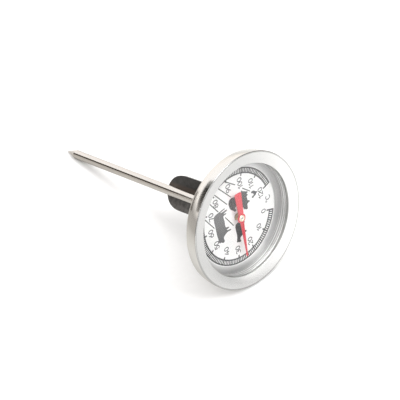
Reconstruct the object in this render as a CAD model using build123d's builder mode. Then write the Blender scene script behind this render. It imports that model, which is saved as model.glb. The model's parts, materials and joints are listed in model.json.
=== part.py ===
# Meat thermometer with a round dial, a pointed probe and a pot clip.
# Millimetres, +Z up. The part lies on a table: the back edge of the bezel and the
# shoulder of the probe's point touch Z = 0, the dial looks toward -Y and leans back.
# Heights "h" below are measured along the probe axis: 0 at the front rim of the bezel,
# negative toward the tip. Radii are measured from the same axis.
import os
from math import asin, atan2, cos, degrees, hypot, pi, radians, sin

from build123d import *

os.makedirs("parts", exist_ok=True)

# ---- probe (stem) ----
stem_radius = 2.0
stem_wall = 0.35
stem_bore = stem_radius - stem_wall
tip_h = -119.0
point_length = 6.5
tip_rounding = 0.25
shoulder_h = tip_h + point_length
depth_mark_h = -61.0
depth_mark_depth = 0.05
depth_mark_width = 1.2

# ---- bezel ring ----
bezel_radius = 28.5
bezel_sheet = 0.6
bezel_edge_rounding = 0.3
bezel_lip_radius = 23.24
bezel_lip_h = -1.05
bezel_back_h = -5.4
bezel_back_radius = 27.2
bezel_back_rounding = 0.7
crimp_lip_radius = 26.2

# ---- stack behind the bezel ----
stack_radius = 27.1
lens_top = -1.75
lens_thickness = 1.4
gasket_thickness = 0.5
gasket_inner = 23.9
spacer_inner = 23.4
flange_top = -4.9
pan_sheet = 0.6
pan_wall_inner = 25.2
rim_ring_step_h = -6.75
rim_ring_inner = 20.75
rim_ring_edge = 0.12
dial_top = -7.4
dial_thickness = 0.5
dial_hole = 1.6
pan_floor_h = -10.4
pan_floor_radius = 20.4
pan_ledge_inner = 22.0

# ---- back boss, seal and nut ----
boss_flange_radius = 6.5
boss_flange_thickness = 1.2
boss_end_radius = 3.2
boss_end_h = -15.6
boss_neck_radius = 3.4
boss_flat_depth = 0.9
seal_thickness = 0.4
seal_radius = 5.4
nut_across_flats = 9.0
nut_thickness = 1.5

# ---- movement ----
spindle_radius = 0.5
running_gap = 0.04
spindle_top = -4.63
coil_hub_top = -64.0
coil_hub_length = 3.0
coil_hub_radius = 0.95
coil_radius = 1.2
coil_strip_width = 1.0
coil_strip_thickness = 0.16
coil_turns = 16
coil_top = -66.2
coil_bottom = -104.9
anchor_top = -105.6
anchor_length = 3.4
guide_length = 2.4
collar_radius = 1.2
collar_length = 0.8

# ---- pointer ----
pointer_underside = -5.2
pointer_thickness = 0.3
needle_length = 17.5
needle_root = 0.95
needle_neck = 0.34
needle_flare = 0.46
flare_length = 1.9
tail_length = 11.2
tail_root = 1.2
tail_end = 1.75
hub_disc_radius = 2.0
eyelet_radius = 1.35
eyelet_shank = 0.8
eyelet_top = -4.55
eyelet_foot = -5.8
degrees_per_celsius = 2.7
reading = 27.0
zero_mark = 252.0
dial_turn = -1.2
pointer_angle = zero_mark + dial_turn - degrees_per_celsius * reading

# ---- clip ----
sleeve_gap = 0.05
sleeve_wall = 0.4
sleeve_slit = 0.7
sleeve_lip = 0.7
sleeve_lip_length = 0.5
collar_top = -17.0
clip_collar_length = 9.0
clip_play = 0.1
clip_collar_outer = 5.0
tongue_width = 14.8
tongue_thickness = 1.5
tongue_end_h = -53.4
tongue_gap_root = 5.0
tongue_gap_end = 2.7
tongue_end_length = 10.2
trough_radius = 17.0
clip_direction = -122.0

# ---- how the part lies on the table ----
rest_radius = bezel_back_radius - stem_radius
rest_length = bezel_back_h - shoulder_h
lean = atan2(rest_radius, rest_length)
lean = lean + asin(bezel_back_rounding / hypot(rest_radius, rest_length))
face_z = stem_radius * cos(lean) - shoulder_h * sin(lean)
front_reach = (bezel_radius - bezel_edge_rounding) * sin(lean)
front_reach = front_reach - bezel_edge_rounding * cos(lean) + bezel_edge_rounding
tip_reach = -(tip_h + tip_rounding) * cos(lean) + tip_rounding
face_y = (front_reach - tip_reach) / 2

# STEM looks out of the dial. Its x is near the 3 o'clock side of the scale, its y near 12
# o'clock; the scale and pointer are turned from there by dial_turn.
STEM = Plane(
    origin=(0, face_y, face_z),
    x_dir=(0, sin(lean), cos(lean)),
    z_dir=(0, -cos(lean), sin(lean)),
)
AXIS = Axis(STEM.origin, STEM.z_dir)
# PROFILE holds half sections: x is the radius, y is the height along the axis.
PROFILE = Plane(origin=STEM.origin, x_dir=STEM.x_dir, z_dir=-STEM.y_dir)


def around(angle):
    """Plane like STEM, turned about the axis by an angle in degrees."""
    turned = STEM.x_dir * cos(radians(angle)) + STEM.y_dir * sin(radians(angle))
    return Plane(origin=STEM.origin, x_dir=turned, z_dir=STEM.z_dir)


def finish(piece, label):
    """Name the piece and write its file."""
    piece.part.label = label
    export_step(piece.part, "parts/" + label + ".step")


# ================= stem =================
with BuildPart() as stem_tube:
    with BuildSketch(PROFILE):
        with BuildLine():
            inner = stem_bore
            outer = stem_radius
            stem_top = pan_floor_h + nut_thickness + 0.4
            mark_start = depth_mark_h + depth_mark_width / 2
            mark_end = depth_mark_h - depth_mark_width / 2
            ThreePointArc(
                (outer, mark_start),
                (outer - depth_mark_depth, depth_mark_h),
                (outer, mark_end),
            )
            Polyline(
                (outer, mark_end),
                (outer, shoulder_h),
                (inner, shoulder_h),
                (inner, stem_top),
                (outer, stem_top),
                (outer, mark_start),
            )
        make_face()
    revolve(axis=AXIS)
finish(stem_tube, "stem_tube")

point_angle = atan2(stem_radius, point_length)
with BuildPart() as tip_plug:
    with BuildSketch(PROFILE):
        with BuildLine():
            centre_h = tip_h + tip_rounding
            touch_r = tip_rounding * cos(point_angle)
            touch_h = centre_h - tip_rounding * sin(point_angle)
            middle_r = tip_rounding * sin((pi / 2 - point_angle) / 2)
            middle_h = centre_h - tip_rounding * cos((pi / 2 - point_angle) / 2)
            ThreePointArc((0, tip_h), (middle_r, middle_h), (touch_r, touch_h))
            Polyline(
                (touch_r, touch_h),
                (stem_radius, shoulder_h),
                (stem_bore, shoulder_h),
                (stem_bore, shoulder_h + 2.2),
                (0, shoulder_h + 2.2),
                (0, tip_h),
            )
        make_face()
    revolve(axis=AXIS)
finish(tip_plug, "tip_plug")

with BuildPart() as coil_anchor:
    with BuildSketch(STEM.offset(anchor_top)):
        Circle(stem_bore)
    extrude(amount=-anchor_length)
    with BuildSketch(STEM.offset(anchor_top)):
        Circle(coil_radius - 0.15)
    extrude(amount=1.4)
    with BuildSketch(STEM.offset(anchor_top)):
        Rectangle(2 * stem_bore, 0.35)
    extrude(amount=-1.0, mode=Mode.SUBTRACT)
finish(coil_anchor, "coil_anchor")

with BuildPart() as lower_guide:
    with BuildSketch(STEM.offset(depth_mark_h)):
        Circle(stem_bore)
        Circle(spindle_radius + running_gap, mode=Mode.SUBTRACT)
    extrude(amount=guide_length / 2, both=True)
finish(lower_guide, "lower_guide")

guide_flange_h = pan_floor_h + nut_thickness + 0.4
with BuildPart() as upper_guide:
    with BuildSketch(STEM.offset(guide_flange_h)):
        Circle(stem_bore)
    extrude(amount=-2.4)
    with BuildSketch(STEM.offset(guide_flange_h)):
        Circle(stem_radius)
    extrude(amount=0.4)
    with BuildSketch(STEM.offset(guide_flange_h - 3)):
        Circle(spindle_radius + running_gap)
    extrude(amount=5, mode=Mode.SUBTRACT)
finish(upper_guide, "upper_guide")

# ================= case =================
# the side bulges a little: one arc, tangent to the front edge and to the back rounding
side_inset = bezel_radius - bezel_back_radius
side_drop = -bezel_back_h - bezel_edge_rounding
side_arc = side_inset**2 + side_drop**2 - bezel_back_rounding**2
side_arc = side_arc / (2 * (side_inset - bezel_back_rounding))
side_turn = asin(side_drop / (side_arc - bezel_back_rounding))
inner_side = bezel_radius - bezel_sheet
front_slope = atan2(-bezel_lip_h, bezel_radius - bezel_lip_radius)
with BuildPart() as bezel_ring:
    with BuildSketch(PROFILE):
        with BuildLine():
            edge_r = bezel_radius - bezel_edge_rounding
            corner = bezel_edge_rounding
            side_start = (bezel_radius, -corner)
            front_start = (edge_r - corner * sin(front_slope), -corner + corner * cos(front_slope))
            bisector = (pi / 2 + front_slope) / 2
            corner_middle = (edge_r + corner * cos(bisector), -corner + corner * sin(bisector))
            ThreePointArc(side_start, corner_middle, front_start)
            Polyline(
                front_start,
                (bezel_lip_radius + 0.15, bezel_lip_h),
                (bezel_lip_radius, bezel_lip_h - 0.12),
                (bezel_lip_radius, lens_top),
                (bezel_lip_radius + 1.2, lens_top),
                (edge_r - 0.35, -corner - 0.42),
                (inner_side, -corner - 0.7),
            )
            back_r = bezel_back_radius
            back_in = bezel_back_rounding - bezel_sheet
            inside_arc = side_arc - bezel_sheet
            side_centre = (bezel_radius - side_arc, -corner)
            inside_end = (
                side_centre[0] + inside_arc * cos(side_turn),
                side_centre[1] - inside_arc * sin(side_turn),
            )
            Line((inner_side, -corner - 0.7), (inner_side - 0.05, -corner - 1.4))
            Line((inner_side - 0.05, -corner - 1.4), inside_end)
            Polyline(
                inside_end,
                (back_r, bezel_back_h - back_in),
                (crimp_lip_radius, bezel_back_h - back_in),
                (crimp_lip_radius, bezel_back_h - bezel_back_rounding),
                (back_r, bezel_back_h - bezel_back_rounding),
            )
            half_turn = (pi / 2 + side_turn) / 2
            round_middle = (
                back_r + bezel_back_rounding * cos(half_turn),
                bezel_back_h - bezel_back_rounding * sin(half_turn),
            )
            side_end = (
                back_r + bezel_back_rounding * cos(side_turn),
                bezel_back_h - bezel_back_rounding * sin(side_turn),
            )
            side_middle = (
                side_centre[0] + side_arc * cos(side_turn / 2),
                side_centre[1] - side_arc * sin(side_turn / 2),
            )
            ThreePointArc(
                (back_r, bezel_back_h - bezel_back_rounding), round_middle, side_end
            )
            ThreePointArc(side_end, side_middle, side_start)
        make_face()
    revolve(axis=AXIS)
finish(bezel_ring, "bezel_ring")

with BuildPart() as lens:
    with BuildSketch(STEM.offset(lens_top)):
        Circle(stack_radius)
    extrude(amount=-lens_thickness)
    chamfer(lens.edges().sort_by(AXIS)[-1], length=0.3)
finish(lens, "lens")

gasket_top = lens_top - lens_thickness
spacer_top = gasket_top - gasket_thickness
with BuildPart() as lens_gasket:
    with BuildSketch(STEM.offset(gasket_top)):
        Circle(stack_radius)
        Circle(gasket_inner, mode=Mode.SUBTRACT)
    extrude(amount=-gasket_thickness)
finish(lens_gasket, "lens_gasket")

with BuildPart() as spacer_ring:
    with BuildSketch(PROFILE):
        with BuildLine():
            Polyline(
                (spacer_inner, spacer_top - 0.2),
                (spacer_inner + 0.2, spacer_top),
                (stack_radius, spacer_top),
                (stack_radius, flange_top),
                (pan_wall_inner, flange_top),
                (pan_wall_inner, rim_ring_step_h),
                (spacer_inner + 0.15, rim_ring_step_h),
                (spacer_inner, rim_ring_step_h + 0.15),
                close=True,
            )
        make_face()
    revolve(axis=AXIS)
finish(spacer_ring, "spacer_ring")

with BuildPart() as rim_ring:
    with BuildSketch(PROFILE):
        with BuildLine():
            foot = (rim_ring_inner, dial_top + rim_ring_edge)
            brink = (spacer_inner - 0.1, rim_ring_step_h)
            run = brink[0] - foot[0]
            rise = brink[1] - foot[1]
            sweep_radius = (run * run + rise * rise) / (2 * rise)
            half = asin(run / sweep_radius) / 2
            middle = (foot[0] + sweep_radius * sin(half), foot[1] + sweep_radius * (1 - cos(half)))
            ThreePointArc(foot, middle, brink)
            Polyline(
                brink,
                (pan_wall_inner, rim_ring_step_h),
                (pan_wall_inner, dial_top),
                (rim_ring_inner, dial_top),
                foot,
            )
        make_face()
    revolve(axis=AXIS)
finish(rim_ring, "rim_ring")

with BuildPart() as dial_plate:
    with BuildSketch(STEM.offset(dial_top)):
        Circle(pan_wall_inner)
        Circle(dial_hole, mode=Mode.SUBTRACT)
    extrude(amount=-dial_thickness)
finish(dial_plate, "dial_plate")

ledge_h = dial_top - dial_thickness
with BuildPart() as case_pan:
    with BuildSketch(PROFILE):
        with BuildLine():
            wall_outer = pan_wall_inner + pan_sheet
            Polyline(
                (boss_neck_radius, pan_floor_h),
                (pan_floor_radius, pan_floor_h),
                (pan_ledge_inner, ledge_h),
                (pan_wall_inner, ledge_h),
                (pan_wall_inner, flange_top),
                (stack_radius, flange_top),
                (stack_radius, flange_top - pan_sheet),
                (wall_outer, flange_top - pan_sheet),
                (wall_outer, ledge_h + 0.2),
            )
            ThreePointArc(
                (wall_outer, ledge_h + 0.2),
                (wall_outer - 0.25, ledge_h - 0.4),
                (wall_outer - 0.85, ledge_h - pan_sheet),
            )
            Polyline(
                (wall_outer - 0.85, ledge_h - pan_sheet),
                (pan_ledge_inner + 0.45, ledge_h - pan_sheet),
                (pan_floor_radius + 0.75, pan_floor_h - 0.1),
            )
            ThreePointArc(
                (pan_floor_radius + 0.75, pan_floor_h - 0.1),
                (pan_floor_radius + 0.35, pan_floor_h - 0.48),
                (pan_floor_radius - 0.25, pan_floor_h - pan_sheet),
            )
            Polyline(
                (pan_floor_radius - 0.25, pan_floor_h - pan_sheet),
                (boss_neck_radius, pan_floor_h - pan_sheet),
                (boss_neck_radius, pan_floor_h),
            )
        make_face()
    revolve(axis=AXIS)
finish(case_pan, "case_pan")

pan_back_h = pan_floor_h - pan_sheet
seal_back_h = pan_back_h - seal_thickness
with BuildPart() as boss_seal:
    with BuildSketch(STEM.offset(pan_back_h)):
        Circle(seal_radius)
        Circle(boss_neck_radius, mode=Mode.SUBTRACT)
    extrude(amount=-seal_thickness)
finish(boss_seal, "boss_seal")

with BuildPart() as rear_boss:
    with BuildSketch(PROFILE):
        with BuildLine():
            Polyline(
                (stem_radius, pan_floor_h + nut_thickness + 0.2),
                (boss_neck_radius, pan_floor_h + nut_thickness + 0.2),
                (boss_neck_radius, seal_back_h),
                (boss_flange_radius - 0.3, seal_back_h),
                (boss_flange_radius, seal_back_h - 0.3),
                (boss_flange_radius, seal_back_h - boss_flange_thickness),
                (boss_end_radius + 1.5, seal_back_h - boss_flange_thickness - 0.5),
                (boss_end_radius + 1.1, boss_end_h + 1.6),
                (boss_end_radius, boss_end_h),
                (stem_radius, boss_end_h),
                close=True,
            )
        make_face()
    revolve(axis=AXIS)
    # two flats for the assembly wrench
    for side in (-1, 1):
        flat_x = side * (boss_flange_radius - boss_flat_depth + 2)
        with BuildSketch(STEM.offset(seal_back_h)):
            with Locations((flat_x, 0)):
                Rectangle(4, 20)
        extrude(amount=-boss_flange_thickness - 0.5, mode=Mode.SUBTRACT)
finish(rear_boss, "rear_boss")

with BuildPart() as boss_nut:
    with BuildSketch(STEM.offset(pan_floor_h)):
        RegularPolygon(nut_across_flats / 2, 6, major_radius=False)
        Circle(boss_neck_radius, mode=Mode.SUBTRACT)
    extrude(amount=nut_thickness)
finish(boss_nut, "boss_nut")

# ================= movement =================
with BuildPart() as spindle:
    with BuildSketch(STEM.offset(coil_hub_top - coil_hub_length)):
        Circle(spindle_radius)
    extrude(amount=spindle_top - coil_hub_top + coil_hub_length)
    chamfer(spindle.edges().sort_by(AXIS)[-1], length=0.1)
finish(spindle, "spindle")

thrust_h = guide_flange_h + 0.4 + 0.15
with BuildPart() as thrust_collar:
    with BuildSketch(STEM.offset(thrust_h)):
        Circle(collar_radius)
        Circle(spindle_radius, mode=Mode.SUBTRACT)
    extrude(amount=collar_length)
    chamfer(thrust_collar.edges().group_by(AXIS)[-1], length=0.12)
finish(thrust_collar, "thrust_collar")

with BuildPart() as coil_hub:
    with BuildSketch(STEM.offset(coil_hub_top)):
        Circle(coil_hub_radius)
        Circle(spindle_radius, mode=Mode.SUBTRACT)
    extrude(amount=-coil_hub_length)
    chamfer(coil_hub.edges().group_by(AXIS)[-1], length=0.15)
finish(coil_hub, "coil_hub")

coil_length = coil_top - coil_bottom
coil_start = around(0).offset(coil_bottom)
with BuildPart() as bimetal_coil:
    with BuildLine() as coil_path:
        Helix(
            pitch=coil_length / coil_turns,
            height=coil_length,
            radius=coil_radius,
            center=coil_start.origin,
            direction=STEM.z_dir,
        )
    strip_start = coil_path.line @ 0
    outward = strip_start - coil_start.origin
    with BuildSketch(Plane(origin=strip_start, x_dir=outward, z_dir=coil_path.line % 0)):
        Rectangle(coil_strip_thickness, coil_strip_width)
    sweep(is_frenet=True)
finish(bimetal_coil, "bimetal_coil")

POINTER = around(pointer_angle).offset(pointer_underside)
with BuildPart() as pointer:
    with BuildSketch(POINTER):
        Circle(hub_disc_radius)
        with BuildLine():
            Polyline(
                (0, needle_root),
                (needle_length - flare_length, needle_neck),
                (needle_length - 0.5, needle_flare),
                (needle_length, 0.2),
                (needle_length, -0.2),
                (needle_length - 0.5, -needle_flare),
                (needle_length - flare_length, -needle_neck),
                (0, -needle_root),
                close=True,
            )
        make_face()
        with BuildLine():
            Polyline(
                (0, tail_root),
                (-tail_length + 0.35, tail_end),
                (-tail_length, tail_end - 0.35),
                (-tail_length, -tail_end + 0.35),
                (-tail_length + 0.35, -tail_end),
                (0, -tail_root),
                close=True,
            )
        make_face()
        Circle(eyelet_shank, mode=Mode.SUBTRACT)
    extrude(amount=pointer_thickness)
finish(pointer, "pointer")

pointer_face = pointer_underside + pointer_thickness
with BuildPart() as pointer_eyelet:
    with BuildSketch(PROFILE):
        with BuildLine():
            Polyline(
                (spindle_radius, eyelet_foot),
                (eyelet_shank + 0.35, eyelet_foot),
                (eyelet_shank + 0.35, pointer_underside),
                (eyelet_shank, pointer_underside),
                (eyelet_shank, pointer_face),
                (eyelet_radius, pointer_face),
                (eyelet_radius, pointer_face + 0.1),
                (eyelet_radius - 0.25, eyelet_top),
                (spindle_radius + 0.15, eyelet_top),
                (spindle_radius, eyelet_top - 0.12),
                close=True,
            )
        make_face()
    revolve(axis=AXIS)
finish(pointer_eyelet, "pointer_eyelet")

# ================= clip =================
sleeve_inner = stem_radius + sleeve_gap
sleeve_outer = sleeve_inner + sleeve_wall
sleeve_top = collar_top + clip_play + sleeve_lip_length
sleeve_bottom = collar_top - clip_collar_length - clip_play - sleeve_lip_length
CLIP = around(clip_direction)
with BuildPart() as clip_sleeve:
    with BuildSketch(PROFILE):
        with BuildLine():
            lip_outer = sleeve_outer + sleeve_lip
            Polyline(
                (sleeve_inner, sleeve_top),
                (lip_outer, sleeve_top),
                (lip_outer, sleeve_top - sleeve_lip_length),
                (sleeve_outer, sleeve_top - sleeve_lip_length),
                (sleeve_outer, sleeve_bottom + sleeve_lip_length),
                (lip_outer, sleeve_bottom + sleeve_lip_length),
                (lip_outer, sleeve_bottom),
                (sleeve_inner, sleeve_bottom),
                close=True,
            )
        make_face()
    revolve(axis=AXIS)
    # lengthwise slit, so the sleeve springs closed on the stem
    with BuildSketch(CLIP.offset(sleeve_top + 1)):
        with Locations((-5, 0)):
            Rectangle(10, sleeve_slit)
    extrude(amount=sleeve_bottom - sleeve_top - 2, mode=Mode.SUBTRACT)
finish(clip_sleeve, "clip_sleeve")

clip_bore = sleeve_outer + sleeve_gap
collar_bottom = collar_top - clip_collar_length
half_width = tongue_width / 2
tongue_lean = atan2(tongue_gap_root - tongue_gap_end, collar_top - tongue_end_h)
# TONGUE lies on the tongue's centre line: x away from the stem, y across, z toward the dial.
tongue_z = STEM.z_dir * cos(tongue_lean) + CLIP.x_dir * sin(tongue_lean)
tongue_x = CLIP.x_dir * cos(tongue_lean) - STEM.z_dir * sin(tongue_lean)
tongue_start = STEM.origin + STEM.z_dir * tongue_end_h
tongue_start = tongue_start + CLIP.x_dir * tongue_gap_end
TONGUE = Plane(origin=tongue_start, x_dir=tongue_x, z_dir=tongue_z)
tongue_length = (collar_top - tongue_end_h) / cos(tongue_lean)
# BLANK shows the tongue face on: x toward the dial, y across.
BLANK = Plane(origin=tongue_start - tongue_x * 4, x_dir=tongue_z, z_dir=tongue_x)


def trough(offset):
    """Point on the trough's section, at a given distance outside its inner face."""
    reach = trough_radius + offset
    depth = trough_radius - (trough_radius**2 - half_width**2) ** 0.5
    swing = asin(half_width / trough_radius)
    edge_x = reach * cos(swing) - trough_radius + depth
    return (reach - trough_radius + depth, 0), (edge_x, reach * sin(swing))


with BuildPart() as pot_clip:
    # trough-shaped tongue, hollow toward the stem
    with BuildSketch(TONGUE):
        with BuildLine():
            inner_middle, inner_edge = trough(0)
            outer_middle, outer_edge = trough(tongue_thickness)
            ThreePointArc((inner_edge[0], -inner_edge[1]), inner_middle, inner_edge)
            Line(inner_edge, outer_edge)
            ThreePointArc(outer_edge, outer_middle, (outer_edge[0], -outer_edge[1]))
            Line((outer_edge[0], -outer_edge[1]), (inner_edge[0], -inner_edge[1]))
        make_face()
    extrude(amount=tongue_length)
    # rounded free end: keep only what lies inside the blank's outline
    with BuildSketch(BLANK):
        with Locations((tongue_end_length, 0)):
            Ellipse(tongue_end_length, half_width)
        with Locations((tongue_end_length + tongue_length / 2, 0)):
            Rectangle(tongue_length, tongue_width)
    extrude(amount=16, mode=Mode.INTERSECT)
    # collar around the sleeve
    with BuildSketch(STEM.offset(collar_top)):
        Circle(clip_collar_outer)
    extrude(amount=-clip_collar_length)
    # block that joins the collar to the tongue
    with BuildSketch(CLIP.offset(collar_top)):
        with Locations((4.4, 0)):
            Rectangle(6.0, 8.4)
    extrude(amount=-clip_collar_length)
    with BuildSketch(STEM.offset(collar_top + 1)):
        Circle(clip_bore)
    extrude(amount=-clip_collar_length - 2, mode=Mode.SUBTRACT)
finish(pot_clip, "pot_clip")

print("lean", round(degrees(lean), 4), "face at", round(face_y, 4), round(face_z, 4))
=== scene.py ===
import json
from math import cos, pi, radians, sin

import bmesh
import bpy
from mathutils import Matrix, Vector


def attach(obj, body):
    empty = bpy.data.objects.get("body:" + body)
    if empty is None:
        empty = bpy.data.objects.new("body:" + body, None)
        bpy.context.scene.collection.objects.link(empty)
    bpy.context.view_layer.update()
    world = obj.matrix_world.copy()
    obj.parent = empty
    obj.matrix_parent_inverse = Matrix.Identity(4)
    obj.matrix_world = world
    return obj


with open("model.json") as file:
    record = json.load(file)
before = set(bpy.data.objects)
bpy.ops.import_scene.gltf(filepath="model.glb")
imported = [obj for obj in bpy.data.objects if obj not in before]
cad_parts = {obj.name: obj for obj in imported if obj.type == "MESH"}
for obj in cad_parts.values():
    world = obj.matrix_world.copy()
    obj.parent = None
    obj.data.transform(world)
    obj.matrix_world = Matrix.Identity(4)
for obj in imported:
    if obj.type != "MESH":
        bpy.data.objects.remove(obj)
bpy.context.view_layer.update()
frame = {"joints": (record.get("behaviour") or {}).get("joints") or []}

MM = 0.001
MICRON = 0.001 * MM

# ---------------------------------------------------------------- dial frame
# The pointer's joint gives the probe axis. h is measured along it, in mm,
# 0 at the bezel's front rim and negative toward the tip.
POINTER_JOINT_H = -4.0
SCALE_TURN = radians(-1.2)

turn = next(j for j in frame["joints"] if j["name"] == "pointer_turn")
toward_tip = Vector(turn["axis"]).normalized()
face = Vector(turn["pos_m"]) + toward_tip * POINTER_JOINT_H * MM
out = -toward_tip
level = Vector((0.0, out.z, -out.y))
three = level * cos(SCALE_TURN) + out.cross(level) * sin(SCALE_TURN)   # 3 o'clock side
twelve = out.cross(three)                                              # 12 o'clock side
DIAL = Matrix((three, twelve, out)).transposed().to_4x4()
DIAL.translation = face


def link(name, data):
    """A new object in the scene."""
    obj = bpy.data.objects.new(name, data)
    bpy.context.collection.objects.link(obj)
    return obj


# ---------------------------------------------------------------- camera
AZIMUTH = radians(-43.3)
ELEVATION = radians(39.9)
ROLL = radians(-1.2)
# from the face's centre to the camera, in mm
CAMERA_RIGHT = -19.32
CAMERA_UP = 8.34
CAMERA_BACK = 469.9
FOCAL_LENGTH = 108.0
SENSOR_WIDTH = 36.0
NEAREST = 0.01
FARTHEST = 20.0

back = Vector((sin(AZIMUTH) * cos(ELEVATION), -cos(AZIMUTH) * cos(ELEVATION), sin(ELEVATION)))
level_right = Vector((cos(AZIMUTH), sin(AZIMUTH), 0.0))
right = level_right * cos(ROLL) + back.cross(level_right) * sin(ROLL)
up = back.cross(right)
camera_data = bpy.data.cameras.new("camera")
camera_data.lens = FOCAL_LENGTH
camera_data.sensor_width = SENSOR_WIDTH
camera_data.clip_start = NEAREST
camera_data.clip_end = FARTHEST
camera = link("camera", camera_data)
camera.location = face + (right * CAMERA_RIGHT + up * CAMERA_UP + back * CAMERA_BACK) * MM
camera.rotation_mode = "QUATERNION"
camera.rotation_quaternion = Matrix((right, up, back)).transposed().to_quaternion()
bpy.context.scene.camera = camera


# ---------------------------------------------------------------- node helpers
class Nodes:
    """Small helper for building one node tree."""

    def __init__(self, tree):
        self.tree = tree
        tree.nodes.clear()

    def add(self, kind, inputs=None, **settings):
        node = self.tree.nodes.new(kind)
        for key, value in settings.items():
            setattr(node, key, value)
        self.fill(node, inputs or {})
        return node

    def fill(self, node, inputs):
        """Link the sockets and set the values given for a node's inputs."""
        for key, value in inputs.items():
            socket = node.inputs[key]
            if isinstance(value, bpy.types.NodeSocket):
                self.tree.links.new(value, socket)
            else:
                socket.default_value = value

    def math(self, operation, a, b=0.0, clamp=False):
        node = self.add("ShaderNodeMath", {0: a, 1: b}, operation=operation, use_clamp=clamp)
        return node.outputs[0]

    def vector_math(self, operation, a, b, output):
        return self.add("ShaderNodeVectorMath", {0: a, 1: b}, operation=operation).outputs[output]

    def length(self, x, y):
        """Square root of x squared and y squared."""
        squares = self.math("MULTIPLY", x, x), self.math("MULTIPLY", y, y)
        return self.math("SQRT", self.math("ADD", *squares))

    def weigh(self, a, share, b):
        """a and b added up, where a counts for its share and b for the rest."""
        return self.math("ADD", self.math("MULTIPLY", a, share), self.math("MULTIPLY", b, 1 - share))

    def remap(self, value, low, high, to_low=0.0, to_high=1.0):
        """low..high becomes to_low..to_high, and the value stops at both ends."""
        node = self.add("ShaderNodeMapRange", {
            "Value": value, "From Min": low, "From Max": high, "To Min": to_low, "To Max": to_high,
        })
        return node.outputs["Result"]

    def spread(self, factor, low, high):
        """0..1 becomes low..high."""
        return self.remap(factor, 0.0, 1.0, low, high)

    def mix(self, factor, a, b, blend="MIX"):
        """The colour a where the factor is 0 and b where it is 1."""
        a, b = ((*c, 1.0) if isinstance(c, tuple) else c for c in (a, b))
        node = self.add("ShaderNodeMix", {0: factor, 6: a, 7: b}, data_type="RGBA", blend_type=blend)
        return node.outputs[2]

    def ramp(self, factor, stops):
        """Colour along (position, colour) stops. A single number is a grey."""
        node = self.add("ShaderNodeValToRGB", {"Fac": factor})
        elements = node.color_ramp.elements
        while len(elements) < len(stops):
            elements.new(0.5)
        for element, (position, colour) in zip(elements, stops):
            element.position = position
            if not isinstance(colour, tuple):
                colour = (colour, colour, colour)
            element.color = (*colour, 1.0)
        return node.outputs["Color"]

    def mottle(self, noise, low, high, reach=0.2):
        """Two colours that a noise moves between. Most of a noise lies near 0.5."""
        return self.ramp(noise, [(0.5 - reach, low), (0.5 + reach, high)])

    def noise(self, vector, scale, detail=3.0, roughness=0.6):
        node = self.add("ShaderNodeTexNoise", {
            "Vector": vector, "Scale": scale, "Detail": detail, "Roughness": roughness,
        })
        return node.outputs["Fac"]

    def bump(self, height, distance):
        node = self.add("ShaderNodeBump", {"Height": height, "Distance": distance, "Strength": 1.0})
        return node.outputs["Normal"]

    def split(self, vector):
        """The X, Y and Z sockets of a vector."""
        outputs = self.add("ShaderNodeSeparateXYZ", {0: vector}).outputs
        return outputs["X"], outputs["Y"], outputs["Z"]


def object_coordinates(nodes):
    return nodes.add("ShaderNodeTexCoord").outputs["Object"]


def dial_coordinates(nodes):
    """Object coordinates turned into the dial frame, in metres."""
    inverse = DIAL.inverted()
    mapping = nodes.add("ShaderNodeMapping", {
        "Vector": object_coordinates(nodes),
        "Rotation": inverse.to_euler(),
        "Location": inverse.translation,
    })
    return mapping.outputs["Vector"]


# ---------------------------------------------------------------- materials
def new_material(name):
    material = bpy.data.materials.new(name)
    material.use_nodes = True
    nodes = Nodes(material.node_tree)
    shader = nodes.add("ShaderNodeBsdfPrincipled")
    nodes.add("ShaderNodeOutputMaterial", {"Surface": shader.outputs[0]})
    return material, nodes, shader


def wear(nodes, vector, scale):
    """Slow blotches with a little fine grain, 0..1."""
    slow = nodes.noise(vector, scale)
    fine = nodes.noise(vector, scale * 14, detail=2.0, roughness=0.5)
    return nodes.weigh(slow, 0.75, fine)


def tinted(colour, tint):
    """A little darker and a little lighter than a colour."""
    return tuple(c * (1 - tint) for c in colour), tuple(min(1.0, c * (1 + tint)) for c in colour)


TURN_LENGTH = 0.6 * MM    # what one radian round the axis counts for in the turned lines
TOOL_MARKS = 0.30         # how strongly the coarse tool marks show
DRAWN_SCALE = 0.02        # of the noise along the axis, which draws its grain out into lines


def turned_metal(name, colour, rough, line_scale, line_depth, tint=0.05, feed=None, zones=()):
    """Metal turned or polished round the probe axis, so its fine lines run round it.

    feed: distance in mm between coarse tool marks, if it has any.
    zones: places with another tone, each past the second of two radii, and of two heights, in mm.
    """
    material, nodes, shader = new_material(name)
    vector = dial_coordinates(nodes)
    x, y, height = nodes.split(vector)
    radius = nodes.length(x, y)
    angle = nodes.math("ARCTAN2", y, x)
    swept = nodes.add("ShaderNodeCombineXYZ", {
        "X": radius, "Y": nodes.math("MULTIPLY", angle, TURN_LENGTH), "Z": height,
    }).outputs[0]
    lines = nodes.noise(swept, line_scale, roughness=0.7)
    uneven = nodes.weigh(lines, 0.6, wear(nodes, vector, scale=90.0))
    if feed:
        path = nodes.math("ADD", height, radius)
        wave = nodes.math("SINE", nodes.math("MULTIPLY", path, 2 * pi / (feed * MM)))
        uneven = nodes.math("ADD", uneven, nodes.math("MULTIPLY", wave, TOOL_MARKS))
    tone = nodes.mottle(uneven, *tinted(colour, tint))
    roughness = nodes.spread(uneven, *rough)
    for zone in zones:
        amount = nodes.remap(radius, *(r * MM for r in zone["radius"]))
        if "height" in zone:
            reached = nodes.remap(height, *(h * MM for h in zone["height"]))
            amount = nodes.math("MULTIPLY", amount, reached)
        tone = nodes.mix(amount, tone, zone["tone"])
        if "rougher" in zone:
            roughness = nodes.math("ADD", roughness, nodes.math("MULTIPLY", amount, zone["rougher"]))
    nodes.fill(shader, {
        "Base Color": tone,
        "Metallic": 1.0,
        "Roughness": roughness,
        "Normal": nodes.bump(lines, line_depth * MICRON),
    })
    return material


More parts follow.
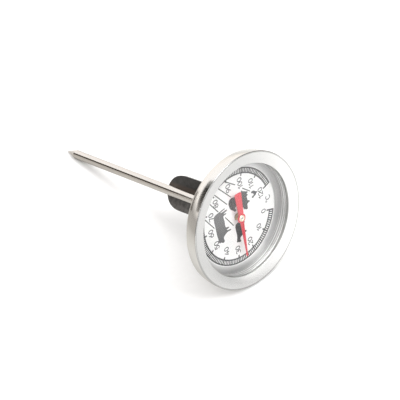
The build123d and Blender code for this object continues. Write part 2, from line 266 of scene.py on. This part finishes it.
def drawn_metal(name, colour, rough):
    """Tube or strip with fine lines along the probe axis."""
    material, nodes, shader = new_material(name)
    vector = dial_coordinates(nodes)
    drawn_out = nodes.add("ShaderNodeMapping", {"Vector": vector, "Scale": (1.0, 1.0, DRAWN_SCALE)})
    lines = nodes.noise(drawn_out.outputs[0], scale=9000.0, detail=2.0)
    uneven = nodes.weigh(lines, 0.35, wear(nodes, vector, scale=160.0))
    nodes.fill(shader, {
        "Base Color": nodes.mottle(uneven, *tinted(colour, 0.04)),
        "Metallic": 1.0,
        "Roughness": nodes.spread(uneven, *rough),
        "Normal": nodes.bump(lines, 2 * MICRON),
    })
    return material


def coated(name, low, high, rough, grain, depth, blotches=250.0):
    """Paint, enamel, print or rubber: two close colours and a grained surface."""
    material, nodes, shader = new_material(name)
    vector = object_coordinates(nodes)
    uneven = wear(nodes, vector, scale=blotches)
    nodes.fill(shader, {
        "Base Color": nodes.mottle(uneven, low, high),
        "Roughness": nodes.spread(uneven, *rough),
        "Normal": nodes.bump(nodes.noise(vector, scale=grain), depth * MICRON),
    })
    return material


def lens_material():
    """Clear plastic with faint smears."""
    material, nodes, shader = new_material("lens_glass")
    smear = nodes.noise(object_coordinates(nodes), scale=45.0)
    nodes.fill(shader, {
        "Base Color": nodes.mottle(smear, (0.98, 0.98, 0.977), (1.0, 1.0, 1.0)),
        "Roughness": nodes.spread(smear, 0.0, 0.02),
        "Transmission Weight": 1.0,
        "IOR": 1.49,
    })
    return material


# The tongue of the clip hangs at this angle round the dial. Across it, the lower edge is the
# positive side.
CLIP_ANGLE = radians(-122.0) - SCALE_TURN
clip_out = three * cos(CLIP_ANGLE) + twelve * sin(CLIP_ANGLE)
clip_across = Vector((-sin(CLIP_ANGLE), cos(CLIP_ANGLE)))
if (three * clip_across.x + twelve * clip_across.y).dot(up) > 0:
    clip_across = -clip_across

# across the tongue, in metres from the probe axis
# the lower edge is lighter: mottled dust, and painted light where the tongue faces up
LIT_LOWER_EDGE_ACROSS = (-0.001, 0.006)
# a brown strip of painted reflection of the probe, on the tongue's faces toward it
PROBE_REFLECTION_ACROSS = (-0.0034, 0.0)
INNER_FACES = (-0.2, -0.6)    # the part of a normal along clip_out, for faces toward the probe
# brown of the painted reflection of the probe
PROBE_REFLECTION_BROWN = (0.060, 0.046, 0.038)


def clip_material():
    """Moulded black plastic: grain, dust and painted light on the lower edge, a painted reflection
    beside the probe.
    """
    material, nodes, shader = new_material("clip_black")
    vector = object_coordinates(nodes)
    uneven = wear(nodes, vector, scale=620.0)
    x, y, _ = nodes.split(dial_coordinates(nodes))
    across = nodes.math(
        "ADD", nodes.math("MULTIPLY", x, clip_across.x), nodes.math("MULTIPLY", y, clip_across.y)
    )
    plain = nodes.mottle(uneven, (0.016, 0.0155, 0.015), (0.040, 0.039, 0.038), reach=0.15)
    # lighter toward the lower edge: dust, and painted light where the tongue faces up
    dust_and_painted_light = nodes.mottle(uneven, (0.060, 0.056, 0.053), (0.14, 0.13, 0.122), reach=0.15)
    lower_edge = nodes.remap(across, *LIT_LOWER_EDGE_ACROSS)
    dust_and_painted_light_amount = nodes.math("MULTIPLY", lower_edge, nodes.spread(uneven, 0.6, 1.2), clamp=True)
    # painted reflection of the probe: a brown strip on the faces toward it
    strip = nodes.ramp(nodes.remap(across, *PROBE_REFLECTION_ACROSS), [
        (0.0, 0.0), (0.3, 1.0), (0.8, 1.0), (1.0, 0.0),
    ])
    normal = nodes.add("ShaderNodeTexCoord").outputs["Normal"]
    outward = nodes.vector_math("DOT_PRODUCT", normal, clip_out, "Value")
    painted_probe_reflection = nodes.math("MULTIPLY", strip, nodes.remap(outward, *INNER_FACES))
    nodes.fill(shader, {
        "Base Color": nodes.mix(dust_and_painted_light_amount, nodes.mix(painted_probe_reflection, plain, PROBE_REFLECTION_BROWN), dust_and_painted_light),
        "Roughness": nodes.spread(uneven, 0.22, 0.40),
        "Normal": nodes.bump(nodes.noise(vector, scale=2200.0), 10 * MICRON),
    })
    return material


# Line and grain depths are in microns; the scales are those of the noise.
bezel_steel = turned_metal(
    "bezel_steel", (0.80, 0.80, 0.79), rough=(0.11, 0.18), line_scale=5200.0, line_depth=1,
    zones=[
        # painted shade: a dark line where the front turns into the side, for the rounded edge's dark
        # reflection
        {"tone": (0.50, 0.50, 0.49), "radius": (27.78, 27.9), "height": (-0.40, -0.28)},
        # the cut inner edge is rougher, and painted darker as painted shade of its reflection
        {"tone": (0.50, 0.50, 0.49), "radius": (23.4, 23.3), "rougher": 0.35},
    ],
)
wall_steel = turned_metal(
    "wall_steel", (0.72, 0.72, 0.71), rough=(0.34, 0.46), line_scale=2600.0, line_depth=30,
    tint=0.30, feed=1.1,
)
rim_steel = turned_metal(
    "rim_steel", (0.72, 0.72, 0.72), rough=(0.36, 0.46), line_scale=3000.0, line_depth=6, tint=0.1,
    # painted shade: darker toward the outside, for the cove's reflection fading from the dial's white
    # to grey
    zones=[{"tone": (0.46, 0.46, 0.46), "radius": (20.8, 22.6)}],
)
case_steel = turned_metal(
    "case_steel", (0.72, 0.71, 0.69), rough=(0.22, 0.36), line_scale=4200.0, line_depth=2,
)
boss_steel = turned_metal(
    "boss_steel", (0.7, 0.69, 0.67), rough=(0.2, 0.3), line_scale=5000.0, line_depth=2,
)
brass = turned_metal(
    "brass", (0.55, 0.38, 0.19), rough=(0.25, 0.4), line_scale=5000.0, line_depth=2,
)
eyelet_brass = turned_metal(
    "eyelet_brass", (0.93, 0.84, 0.66), rough=(0.25, 0.4), line_scale=5000.0, line_depth=2,
)
probe_steel = drawn_metal("probe_steel", (0.735, 0.715, 0.69), rough=(0.10, 0.18))
point_steel = drawn_metal("point_steel", (0.88, 0.87, 0.85), rough=(0.34, 0.44))
spring_steel = drawn_metal("spring_steel", (0.6, 0.6, 0.6), rough=(0.2, 0.3))
bimetal_strip = drawn_metal("bimetal_strip", (0.62, 0.55, 0.45), rough=(0.25, 0.4))
dial_enamel = coated(
    "dial_enamel", (0.80, 0.80, 0.79), (0.86, 0.86, 0.855), rough=(0.3, 0.42), grain=1800.0, depth=3,
)
ink = coated(
    "ink", (0.012, 0.013, 0.014), (0.03, 0.031, 0.033), rough=(0.35, 0.5), grain=4000.0, depth=4,
    blotches=900.0,
)
grey_ink = coated(
    "grey_ink", (0.085, 0.085, 0.087), (0.12, 0.12, 0.123), rough=(0.35, 0.5), grain=4000.0, depth=4,
    blotches=900.0,
)
pointer_red = coated(
    "pointer_red", (0.55, 0.014, 0.03), (0.66, 0.03, 0.055), rough=(0.3, 0.42), grain=2500.0, depth=3,
    blotches=700.0,
)
rubber = coated(
    "rubber", (0.02, 0.02, 0.02), (0.04, 0.04, 0.04), rough=(0.6, 0.8), grain=3000.0, depth=10,
)
silicone = coated(
    "silicone", (0.38, 0.38, 0.37), (0.45, 0.45, 0.44), rough=(0.45, 0.6), grain=3000.0, depth=5,
)

FINISHES = {
    "bezel_ring": bezel_steel,
    "lens": lens_material(),
    "lens_gasket": silicone,
    "spacer_ring": wall_steel,
    "rim_ring": rim_steel,
    "dial_plate": dial_enamel,
    "case_pan": case_steel,
    "rear_boss": boss_steel,
    "boss_seal": rubber,
    "boss_nut": boss_steel,
    "stem_tube": probe_steel,
    "tip_plug": point_steel,
    "coil_anchor": brass,
    "lower_guide": brass,
    "upper_guide": brass,
    "bimetal_coil": bimetal_strip,
    "coil_hub": brass,
    "spindle": spring_steel,
    "thrust_collar": brass,
    "pointer": pointer_red,
    "pointer_eyelet": eyelet_brass,
    "clip_sleeve": spring_steel,
    "pot_clip": clip_material(),
}


def paint(node, material):
    """Give a CAD node a Blender material."""
    obj = bpy.data.objects[node]
    if not obj.material_slots:
        obj.data.materials.append(material)
    for slot in obj.material_slots:
        slot.material = material


for node_name, finish in FINISHES.items():
    paint(node_name, finish)
bpy.data.objects["lens"].visible_shadow = False   # so that the lights reach the dial


# ---------------------------------------------------------------- printed dial
DIAL_TOP = -7.4 * MM
INK = 0.03 * MM
SHARPEST_MITRE = 0.5    # cosine of half the turn, where a corner's reach stops growing


def print_piece(name, mesh, material):
    """A printed mark: a closed thin solid on the dial, fixed to the case."""
    mesh.materials.append(material)
    piece = link(name, mesh)
    piece.matrix_world = DIAL
    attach(piece, "case")


class Print:
    """Collects flat strokes and bands, given in mm, and makes one thin solid piece of them."""

    def __init__(self):
        self.vertices = []
        self.faces = []

    def strip(self, pairs, closed=False):
        """A band between two edges, given as cross pairs of points along it."""
        start = len(self.vertices)
        count = len(pairs)
        for pair in pairs:
            for x, y in pair:
                self.vertices.append((x * MM, y * MM, DIAL_TOP + INK))
                self.vertices.append((x * MM, y * MM, DIAL_TOP))
        last = count if closed else count - 1
        for i in range(last):
            a = start + 4 * i
            b = start + 4 * ((i + 1) % count)
            self.faces.append((a, a + 2, b + 2, b))          # top
            self.faces.append((a + 1, b + 1, b + 3, a + 3))  # underside
            self.faces.append((a, b, b + 1, a + 1))          # left wall
            self.faces.append((a + 2, a + 3, b + 3, b + 2))  # right wall
        if not closed:
            self.faces.append((start, start + 1, start + 3, start + 2))
            end = start + 4 * (count - 1)
            self.faces.append((end, end + 2, end + 3, end + 1))

    def stroke(self, points, width, closed=False, round_ends=True):
        """A line of even width along points."""
        points = [Vector(p) for p in points]
        half = width / 2
        count = len(points)
        pairs = []
        for i, point in enumerate(points):
            before = points[i - 1] if closed or i > 0 else point
            after = points[(i + 1) % count] if closed or i < count - 1 else point
            a = (point - before).normalized() if point != before else None
            b = (after - point).normalized() if after != point else None
            a, b = a or b, b or a
            along = (a + b).normalized()
            side = Vector((-along.y, along.x))
            reach = half / max(SHARPEST_MITRE, side.dot(Vector((-a.y, a.x))))
            pairs.append((point + side * reach, point - side * reach))
        if round_ends and not closed:
            first = self.cap(points[0], points[1], half)
            last = self.cap(points[-1], points[-2], half)
            pairs = first[::-1] + pairs + [pair[::-1] for pair in last]
        self.strip(pairs, closed)

    @staticmethod
    def cap(end, inside, half):
        """Cross pairs of a half-round end, from the end point outward."""
        along = (end - inside).normalized()
        side = Vector((along.y, -along.x))
        pairs = []
        for step in (30, 60, 80):
            reach = end + along * half * sin(radians(step))
            wide = half * cos(radians(step))
            pairs.append((reach + side * wide, reach - side * wide))
        return pairs

    def arc_band(self, radius, width, start_angle, end_angle):
        """A band round the dial, in steps of about one degree."""
        count = int(abs(end_angle - start_angle)) + 1
        edges = (radius - width / 2, radius + width / 2)
        pairs = []
        for i in range(count):
            angle = radians(start_angle + (end_angle - start_angle) * i / (count - 1))
            pairs.append([(edge * cos(angle), edge * sin(angle)) for edge in edges])
        self.strip(pairs)

    def tick(self, angle, start, end, width):
        ray = Vector((cos(radians(angle)), sin(radians(angle))))
        self.stroke([ray * start, ray * end], width, round_ends=False)

    def make(self, name):
        mesh = bpy.data.meshes.new(name)
        mesh.from_pydata(self.vertices, [], self.faces)
        mesh.validate()
        build = bmesh.new()
        build.from_mesh(mesh)
        bmesh.ops.recalc_face_normals(build, faces=build.faces)
        build.to_mesh(mesh)
        build.free()
        print_piece(name, mesh, ink)


# The scale. Angles are in degrees, anticlockwise from 3 o'clock.
DEGREES_PER_CELSIUS = 2.7
ZERO_ANGLE = 252.0
HIGHEST = 120
OUTER_ARC = 20.1
INNER_ARC = 18.05
ARC_WIDTH = 0.58
ARC_OVERRUN = 0.4
DEGREE_WIDTH = 0.48
FIVE_WIDTH = 0.6
TEN_WIDTH = 0.64
TEN_START = 16.8
END_START = 16.4


def angle_of(celsius):
    return ZERO_ANGLE - DEGREES_PER_CELSIUS * celsius


scale = Print()
for arc_radius in (OUTER_ARC, INNER_ARC):
    scale.arc_band(arc_radius, ARC_WIDTH, angle_of(0) + ARC_OVERRUN, angle_of(HIGHEST) - ARC_OVERRUN)
for celsius in range(HIGHEST + 1):
    angle = angle_of(celsius)
    if celsius in (0, HIGHEST):
        scale.tick(angle, END_START, OUTER_ARC + ARC_WIDTH / 2, TEN_WIDTH)
    elif celsius % 10 == 0:
        scale.tick(angle, TEN_START, INNER_ARC - ARC_WIDTH / 2, TEN_WIDTH)
        scale.tick(angle, INNER_ARC, OUTER_ARC, TEN_WIDTH)
    else:
        scale.tick(angle, INNER_ARC, OUTER_ARC, DEGREE_WIDTH if celsius % 5 else FIVE_WIDTH)
scale.make("print_scale")


def bow(cx, cy, rx, ry, start, end, count=14):
    """Points on an ellipse from one angle to another."""
    angles = [radians(start + (end - start) * i / count) for i in range(count + 1)]
    return [(cx + rx * cos(angle), cy + ry * sin(angle)) for angle in angles]


def loop(cx, cy, rx, ry, count=24):
    return bow(cx, cy, rx, ry, 0, 360 - 360 / count, count - 1)


# Stroke figures in a box one unit high. Each figure is (width, open strokes, closed strokes).
FIGURES = {
    "0": (0.56, [], [loop(0.28, 0.5, 0.28, 0.5)]),
    "1": (0.34, [[(0.02, 0.76), (0.26, 1.0), (0.26, 0.0)]], []),
    "2": (0.54, [bow(0.27, 0.73, 0.26, 0.27, 165, -35) + [(0.02, 0.0), (0.54, 0.0)]], []),
    "3": (
        0.54,
        [bow(0.27, 0.75, 0.24, 0.25, 150, -75) + bow(0.27, 0.265, 0.27, 0.265, 80, -150)],
        [],
    ),
    "4": (0.6, [[(0.4, 1.0), (0.0, 0.3), (0.6, 0.3)], [(0.44, 0.55), (0.44, 0.0)]], []),
    "5": (0.54, [[(0.5, 1.0), (0.1, 1.0), (0.05, 0.55)] + bow(0.27, 0.32, 0.27, 0.32, 125, -150)], []),
    "6": (
        0.56,
        [[(0.42, 1.0)] + bow(0.28, 0.3, 0.28, 0.3, 160, 178, 2)],
        [loop(0.28, 0.3, 0.28, 0.3)],
    ),
    "7": (0.52, [[(0.0, 1.0), (0.52, 1.0), (0.2, 0.0)]], []),
    "8": (0.56, [], [loop(0.28, 0.755, 0.23, 0.245), loop(0.28, 0.255, 0.28, 0.255)]),
    "9": (
        0.56,
        [[(0.14, 0.0)] + bow(0.28, 0.7, 0.28, 0.3, -20, -2, 2)],
        [loop(0.28, 0.7, 0.28, 0.3)],
    ),
    "C": (0.62, [bow(0.36, 0.5, 0.36, 0.5, 48, 312, 20)], []),
}
FIGURE_STRETCH = 1.12    # widens every figure
FIGURE_GAP = 0.2
FIGURE_STROKE = 0.36


def write(target, text, centre, height):
    """Write stroke figures, upright on the dial, round a centre point."""
    total = FIGURE_STRETCH * sum(FIGURES[c][0] for c in text) + FIGURE_GAP * (len(text) - 1)
    start = -total / 2
    for character in text:
        wide, strokes, loops = FIGURES[character]
        for lines, closed in ((strokes, False), (loops, True)):
            for points in lines:
                placed = [
                    (centre[0] + (start + x * FIGURE_STRETCH) * height, centre[1] + (y - 0.5) * height)
                    for x, y in points
                ]
                target.stroke(placed, FIGURE_STROKE, closed)
        start += wide * FIGURE_STRETCH + FIGURE_GAP


NUMBER_HEIGHT = 2.2
NUMBER_RADIUS = 14.4
# degrees round the dial and mm inward, to stand clear of the lines
NUMBER_SHIFT = {
    0: (0.0, -0.2), 30: (-1.5, 0.0), 60: (1.2, -0.2), 70: (0.8, -0.1), 80: (6.2, -0.1),
    90: (0.0, 0.3), 100: (1.0, 0.5), 110: (2.0, 0.2), 120: (-2.0, 0.0),
}
UNIT_HEIGHT = 2.3
UNIT_CENTRE = (0.15, -17.3)
DEGREE_SIGN_CENTRE = (-1.26, -16.2)
DEGREE_SIGN_RADIUS = 0.36
DEGREE_SIGN_STROKE = 0.22

numbers = Print()
for celsius in range(0, HIGHEST + 1, 10):
    turned, inward = NUMBER_SHIFT.get(celsius, (0.0, 0.0))
    angle = radians(angle_of(celsius) + turned)
    distance = NUMBER_RADIUS - inward
    write(numbers, str(celsius), (distance * cos(angle), distance * sin(angle)), NUMBER_HEIGHT)
write(numbers, "C", UNIT_CENTRE, UNIT_HEIGHT)
degree_sign = loop(*DEGREE_SIGN_CENTRE, DEGREE_SIGN_RADIUS, DEGREE_SIGN_RADIUS, 16)
numbers.stroke(degree_sign, DEGREE_SIGN_STROKE, closed=True)
numbers.make("print_numbers")

LEADER_WIDTH = 0.42
leaders = Print()
for points in (
    [(7.3, 16.5), (1.15, 12.5)],
    [(12.6, 12.9), (6.8, 9.1)],
    [(2.85, 6.2), (-2.7, 2.7)],
    [(15.1, 9.9), (7.7, 4.1)],
    [(16.5, 7.25), (9.8, 1.6)],
    [(17.6, 3.4), (13.7, -1.6)],
    [(10.6, -4.9), (7.4, -8.6)],
):
    leaders.stroke(points, LEADER_WIDTH, round_ends=False)
leaders.make("print_leaders")


# Plain animal pictograms, one per meat, all facing left: (x, y) in dial mm, going round.
COW = [
    (-7.3, 8.9), (-7.1, 9.7), (-6.4, 10.5), (-6.7, 11.2), (-6.1, 11.2), (-5.9, 12.1), (-5.5, 11.6),
    (-4.6, 11.5), (-2.5, 11.8), (1.0, 11.9), (3.6, 12.1), (5.3, 12.0), (6.1, 11.3), (6.4, 9.8),
    (6.6, 8.0), (6.9, 5.8), (6.4, 5.5), (6.2, 7.0), (5.9, 8.6), (5.7, 7.2), (5.9, 4.7), (5.2, 4.6),
    (5.0, 6.0), (4.7, 6.9), (4.5, 5.3), (4.0, 5.3), (3.9, 7.0), (3.0, 7.1), (1.6, 6.8), (0.0, 6.9),
    (-1.5, 6.9), (-1.8, 5.1), (-2.4, 5.0), (-2.5, 6.6), (-3.0, 6.2), (-3.2, 4.3), (-3.9, 4.2),
    (-3.7, 6.4), (-4.3, 7.6), (-4.9, 8.6), (-5.8, 8.7), (-6.7, 8.4),
]
CALF = [
    (-11.4, 0.5), (-11.2, 1.4), (-10.7, 2.0), (-10.9, 2.5), (-10.3, 2.5), (-9.8, 2.2), (-9.0, 2.0),
    (-7.5, 1.8), (-5.5, 2.0), (-3.8, 2.0), (-2.9, 1.6), (-2.6, 0.6), (-2.6, -1.0), (-2.9, -1.5),
    (-3.0, -0.4), (-3.3, -1.2), (-3.5, -3.2), (-4.3, -3.2), (-4.3, -1.6), (-4.8, -0.9), (-6.2, -1.1),
    (-7.5, -1.0), (-7.7, -1.8), (-7.7, -3.4), (-8.6, -3.4), (-8.5, -1.6), (-9.1, -0.6), (-9.5, 0.3),
    (-10.2, 0.6), (-10.9, 0.1),
]
LAMB = [
    (2.6, 0.7), (3.0, 1.2), (3.5, 1.5), (4.0, 2.1), (4.6, 2.8), (5.4, 3.2), (6.2, 3.3), (7.0, 3.5),
    (7.9, 3.3), (8.6, 2.9), (9.1, 2.2), (9.3, 1.3), (9.0, 0.6), (8.9, -0.6), (8.9, -1.9), (8.3, -1.9),
    (8.2, -0.7), (7.6, -0.3), (6.3, -0.4), (5.4, -0.5), (5.2, -1.9), (4.6, -1.9), (4.6, -0.4),
    (4.4, 0.4), (3.9, 0.5), (3.4, 0.1), (2.8, 0.2),
]
PIG = [
    (0.5, -5.5), (0.9, -4.9), (1.3, -4.4), (1.3, -3.7), (1.9, -3.9), (2.8, -3.4), (4.2, -3.2),
    (6.0, -3.1), (7.6, -3.2), (8.6, -3.6), (9.1, -4.1), (9.5, -3.8), (9.8, -4.2), (9.5, -4.7),
    (9.1, -4.8), (8.9, -5.6), (8.4, -6.2), (8.1, -7.3), (7.4, -7.3), (7.3, -6.4), (6.8, -7.2),
    (6.3, -7.1), (6.2, -6.3), (5.0, -6.6), (4.2, -6.5), (3.8, -7.6), (3.1, -7.6), (3.1, -6.4),
    (2.5, -6.1), (1.7, -6.1), (0.8, -6.1),
]
HEN = [
    (3.6, -9.6), (4.0, -9.3), (4.2, -8.9), (4.6, -9.1), (4.8, -9.6), (4.8, -10.1), (5.3, -10.3),
    (5.7, -9.9), (6.0, -9.2), (6.5, -8.9), (6.9, -9.3), (6.9, -10.1), (6.4, -11.0), (5.8, -11.6),
    (5.6, -12.3), (5.2, -12.3), (5.1, -11.7), (4.5, -11.3), (4.2, -10.7), (4.1, -10.1), (3.9, -9.8),
]


CORNER_CUT = 0.22


def round_off(points):
    """Cut every corner twice, so the outline runs smoothly."""
    near_share = 1 - CORNER_CUT
    for _ in range(2):
        cut = []
        for (x, y), (nx, ny) in zip(points, points[1:] + points[:1]):
            cut.append((near_share * x + CORNER_CUT * nx, near_share * y + CORNER_CUT * ny))
            cut.append((CORNER_CUT * x + near_share * nx, CORNER_CUT * y + near_share * ny))
        points = cut
    return points


def pictogram(name, outline, colour):
    """A closed flat solid with this outline, printed on the dial."""
    build = bmesh.new()
    ring = [build.verts.new((x * MM, y * MM, DIAL_TOP)) for x, y in round_off(outline)]
    base = build.faces.new(ring)
    base.normal_update()
    if base.normal.z > 0:
        base.normal_flip()
    top = bmesh.ops.extrude_face_region(build, geom=[base], use_keep_orig=True)["geom"]
    raised = [v for v in top if isinstance(v, bmesh.types.BMVert)]
    bmesh.ops.translate(build, verts=raised, vec=(0, 0, INK))
    bmesh.ops.recalc_face_normals(build, faces=build.faces)
    bmesh.ops.triangulate(build, faces=build.faces)
    mesh = bpy.data.meshes.new(name)
    build.to_mesh(mesh)
    build.free()
    print_piece(name, mesh, colour)


pictogram("print_cow", COW, grey_ink)
for animal, outline in (("calf", CALF), ("lamb", LAMB), ("pig", PIG), ("hen", HEN)):
    pictogram("print_" + animal, outline, ink)


# ---------------------------------------------------------------- floor
def sheet(name, corners, material):
    """A flat face with these corners, in metres, that isn't part of the object."""
    mesh = bpy.data.meshes.new(name)
    mesh.from_pydata(corners, [], [tuple(range(len(corners)))])
    mesh.materials.append(material)
    obj = link(name, mesh)
    return obj


# Stretches of the floor, in metres along the frame's axes.
FLOOR_REACH = 1.5
FRONT_Y = (-0.20, -0.08)
BEHIND_FROM_Y = (-0.075, -0.05)
BEHIND_CENTRE = (0.0, -0.054)
BEHIND_DISTANCE = (0.01, 0.16)
RIGHT_FROM_X = (0.01, 0.05)
# a painted shadow round the bezel, on the floor as reflections see it
SHADOW_PATCH_CENTRE = (0.026, -0.109)
SHADOW_PATCH_RADIUS = 0.020


def floor_paper():
    """White paper with one tone for the camera, one for bounced light and one for reflections."""
    material, nodes, shader = new_material("floor_paper")
    spot = object_coordinates(nodes)
    x, y, _ = nodes.split(spot)
    grain = nodes.noise(spot, scale=400.0)

    def distance_to(centre):
        """Distance on the floor from a point, in metres."""
        return nodes.length(*(nodes.math("SUBTRACT", a, b) for a, b in zip((x, y), centre)))

    bounced = nodes.mottle(grain, 0.79, 0.81)
    direct = nodes.mottle(grain, 0.92, 0.94)
    # What the metal mirrors, in painted shade: a front that is brightest far from the object and
    # painted darker toward it, a painted shadow patch close to the bezel, and behind the dial a floor
    # painted darker as it falls off into the room.
    front = nodes.ramp(nodes.remap(y, *FRONT_Y), [
        (0.0, 0.98), (0.5, 0.92), (0.63, 0.82), (0.75, 0.68), (0.83, 0.62), (1.0, 0.64),
    ])
    # painted shadow of the object on the floor, seen only in reflections
    painted_shadow_patch = nodes.ramp(nodes.remap(distance_to(SHADOW_PATCH_CENTRE), 0.0, SHADOW_PATCH_RADIUS), [
        (0.0, 0.35), (0.5, 0.62), (1.0, 1.0),
    ])
    front = nodes.mix(1.0, front, painted_shadow_patch, "MULTIPLY")
    behind = nodes.ramp(nodes.remap(distance_to(BEHIND_CENTRE), *BEHIND_DISTANCE), [
        (0.0, (0.66, 0.65, 0.63)), (0.25, (0.58, 0.565, 0.54)),
        (0.5, (0.50, 0.48, 0.45)), (1.0, (0.34, 0.32, 0.295)),
    ])
    behind = nodes.mix(nodes.remap(x, *RIGHT_FROM_X), behind, (0.72, 0.71, 0.69))
    mirrored_painted_shade = nodes.mix(nodes.remap(y, *BEHIND_FROM_Y), front, behind)
    rays = nodes.add("ShaderNodeLightPath").outputs
    paper = nodes.mix(rays["Is Camera Ray"], bounced, direct)
    nodes.fill(shader, {
        "Base Color": nodes.mix(rays["Is Glossy Ray"], paper, mirrored_painted_shade),
        "Roughness": 0.9,
        "Specular IOR Level": 0.1,
    })
    return material


sheet("floor", [
    (x * FLOOR_REACH, y * FLOOR_REACH, 0) for x, y in ((-1, -1), (1, -1), (1, 1), (-1, 1))
], floor_paper())

# ---------------------------------------------------------------- world and lights
# Stretches of a direction's X and Y, over which the surroundings change.
BRIGHT_WALL_X = (-0.3, 0.1)
DARK_CORNER_X = (0.4, 0.7)
WALL_Y = (-0.15, 0.35)
CORNER_TONE = 0.35
WALL_STRENGTH = 1.22
BACKDROP_STRENGTH = 1.1


def studio_world():
    """The room that the metal mirrors. The camera itself sees a plain white backdrop."""
    world = bpy.data.worlds.new("studio")
    world.use_nodes = True
    nodes = Nodes(world.node_tree)
    direction = nodes.add("ShaderNodeTexCoord").outputs["Generated"]
    x, y, height = nodes.split(direction)
    # a pale wall behind the object (+Y), brighter low down on the right
    wall = nodes.ramp(height, [
        (0.0, (0.46, 0.43, 0.40)), (0.06, (0.62, 0.58, 0.54)), (0.16, (1.0, 0.94, 0.88)),
        (0.3, (1.0, 0.95, 0.91)), (0.6, (1.0, 0.985, 0.97)), (1.0, 1.0),
    ])
    bright_wall = nodes.ramp(height, [
        (0.0, (0.80, 0.76, 0.71)), (0.16, (1.0, 0.94, 0.88)), (0.3, (1.0, 0.95, 0.91)), (1.0, 1.0),
    ])
    wall = nodes.mix(nodes.remap(x, *BRIGHT_WALL_X), wall, bright_wall)
    # a darker room in front of the object, darkest in its right corner
    dim = nodes.ramp(height, [(0.0, 0.85), (0.10, 0.45), (0.35, 0.25), (0.5, 0.9), (1.0, 1.2)])
    corner = nodes.remap(x, *DARK_CORNER_X, 1.0, CORNER_TONE)
    dim = nodes.mix(1.0, dim, corner, "MULTIPLY")
    toward_wall = nodes.remap(y, *WALL_Y)
    surround = nodes.add("ShaderNodeBackground", {
        "Color": nodes.mix(toward_wall, dim, wall),
        "Strength": nodes.spread(toward_wall, 1.0, WALL_STRENGTH),
    })
    backdrop = nodes.add("ShaderNodeBackground", {"Color": (1, 1, 1, 1), "Strength": BACKDROP_STRENGTH})
    from_camera = nodes.add("ShaderNodeLightPath").outputs["Is Camera Ray"]
    shown = nodes.add("ShaderNodeMixShader", {
        0: from_camera, 1: surround.outputs[0], 2: backdrop.outputs[0],
    })
    nodes.add("ShaderNodeOutputWorld", {"Surface": shown.outputs[0]})
    return world


bpy.context.scene.world = studio_world()

# name, position, target and side of the square in metres, and power in watts
LIGHTS = (
    ("top_box", (0.12, -0.2, 0.85), (0, -0.02, 0), 0.6, 1.6),
    ("front_box", (0.20, -0.73, 0.85), (0, -0.05, 0), 0.45, 4.3),
    ("left_box", (-0.55, -0.55, 0.65), (0, -0.05, 0), 0.5, 1.9),
)
for name, position, target, side, power in LIGHTS:
    light_data = bpy.data.lights.new(name, "AREA")
    light_data.size = side
    light_data.energy = power
    light = link(name, light_data)
    light.location = position
    light.rotation_mode = "QUATERNION"
    light.rotation_quaternion = (Vector(target) - Vector(position)).to_track_quat("-Z", "Y")


# ---------------------------------------------------------------- cards
# Dark cards beside the set, which only reflections see.
near = (back - out * back.dot(out)).normalized()   # square to the axis, toward the camera
low = out.cross(near)


def card(name, corners, material):
    """A flat sheet that neither the camera nor the bounced light sees, and that casts no shadow."""
    obj = sheet(name, corners, material)
    obj.visible_camera = False
    obj.visible_shadow = False
    obj.visible_diffuse = False


def matt(shader):
    shader.inputs["Specular IOR Level"].default_value = 0.0
    shader.inputs["Roughness"].default_value = 1.0


def plain_card():
    """Nearly black, a little brown."""
    material, nodes, shader = new_material("black_card")
    grain = nodes.noise(object_coordinates(nodes), scale=60.0, detail=2.0, roughness=0.5)
    colour = nodes.mottle(grain, (0.03, 0.022, 0.014), (0.05, 0.037, 0.024))
    nodes.fill(shader, {"Base Color": colour})
    matt(shader)
    return material


GRADED_LOW = (-38 * MM, 16 * MM)    # from the axis, along low


def graded_card():
    """Grey at both long edges and nearly black between them."""
    material, nodes, shader = new_material("graded_card")
    offset = nodes.vector_math("SUBTRACT", object_coordinates(nodes), face, 0)
    down = nodes.vector_math("DOT_PRODUCT", offset, low, "Value")
    colour = nodes.ramp(nodes.remap(down, *GRADED_LOW), [
        (0.0, (0.50, 0.49, 0.47)), (0.3, (0.02, 0.019, 0.017)),
        (0.55, (0.06, 0.056, 0.05)), (1.0, (0.28, 0.26, 0.24)),
    ])
    nodes.fill(shader, {"Base Color": colour})
    matt(shader)
    return material


def facing_corners(centre, facing, width, height):
    """Corners of an upright rectangle that faces a direction, in metres."""
    across = facing.cross(Vector((0, 0, 1))).normalized() * width / 2
    rise = across.cross(facing).normalized() * height / 2
    return [tuple(centre + across * a + rise * b) for a, b in ((-1, -1), (1, -1), (1, 1), (-1, 1))]


def axis_corners(edge_a, edge_b, h_from, h_to):
    """Corners of a rectangle that runs along the axis between two (near, low) positions, in mm."""
    return [
        tuple(face + (near * n + low * l + out * h) * MM)
        for (n, l), h in ((edge_a, h_from), (edge_b, h_from), (edge_b, h_to), (edge_a, h_to))
    ]


black_card = plain_card()
# A dark wall low on the right and a dark patch round the camera draw the thin line along the
# bezel's outer edge.
card("card_right", facing_corners(
    centre=Vector((0.6, -0.1, 0.05)), facing=Vector((1, 0, 0)), width=0.5, height=0.1,
), black_card)
card("card_camera", facing_corners(
    centre=face + back * 0.7, facing=back, width=0.24, height=0.24,
), black_card)
# One card shades the bezel's side, and one puts the thin dark line along the probe.
card("card_bezel", axis_corners(
    edge_a=(58.0, -36.0), edge_b=(70.0, 16.0), h_from=-18.0, h_to=-56.0,
), graded_card())
card("card_probe", axis_corners(
    edge_a=(66.0, -19.0), edge_b=(66.0, 22.0), h_from=-92.0, h_to=-215.0,
), black_card)

view = bpy.context.scene.view_settings
view.view_transform = "Standard"
view.look = "None"
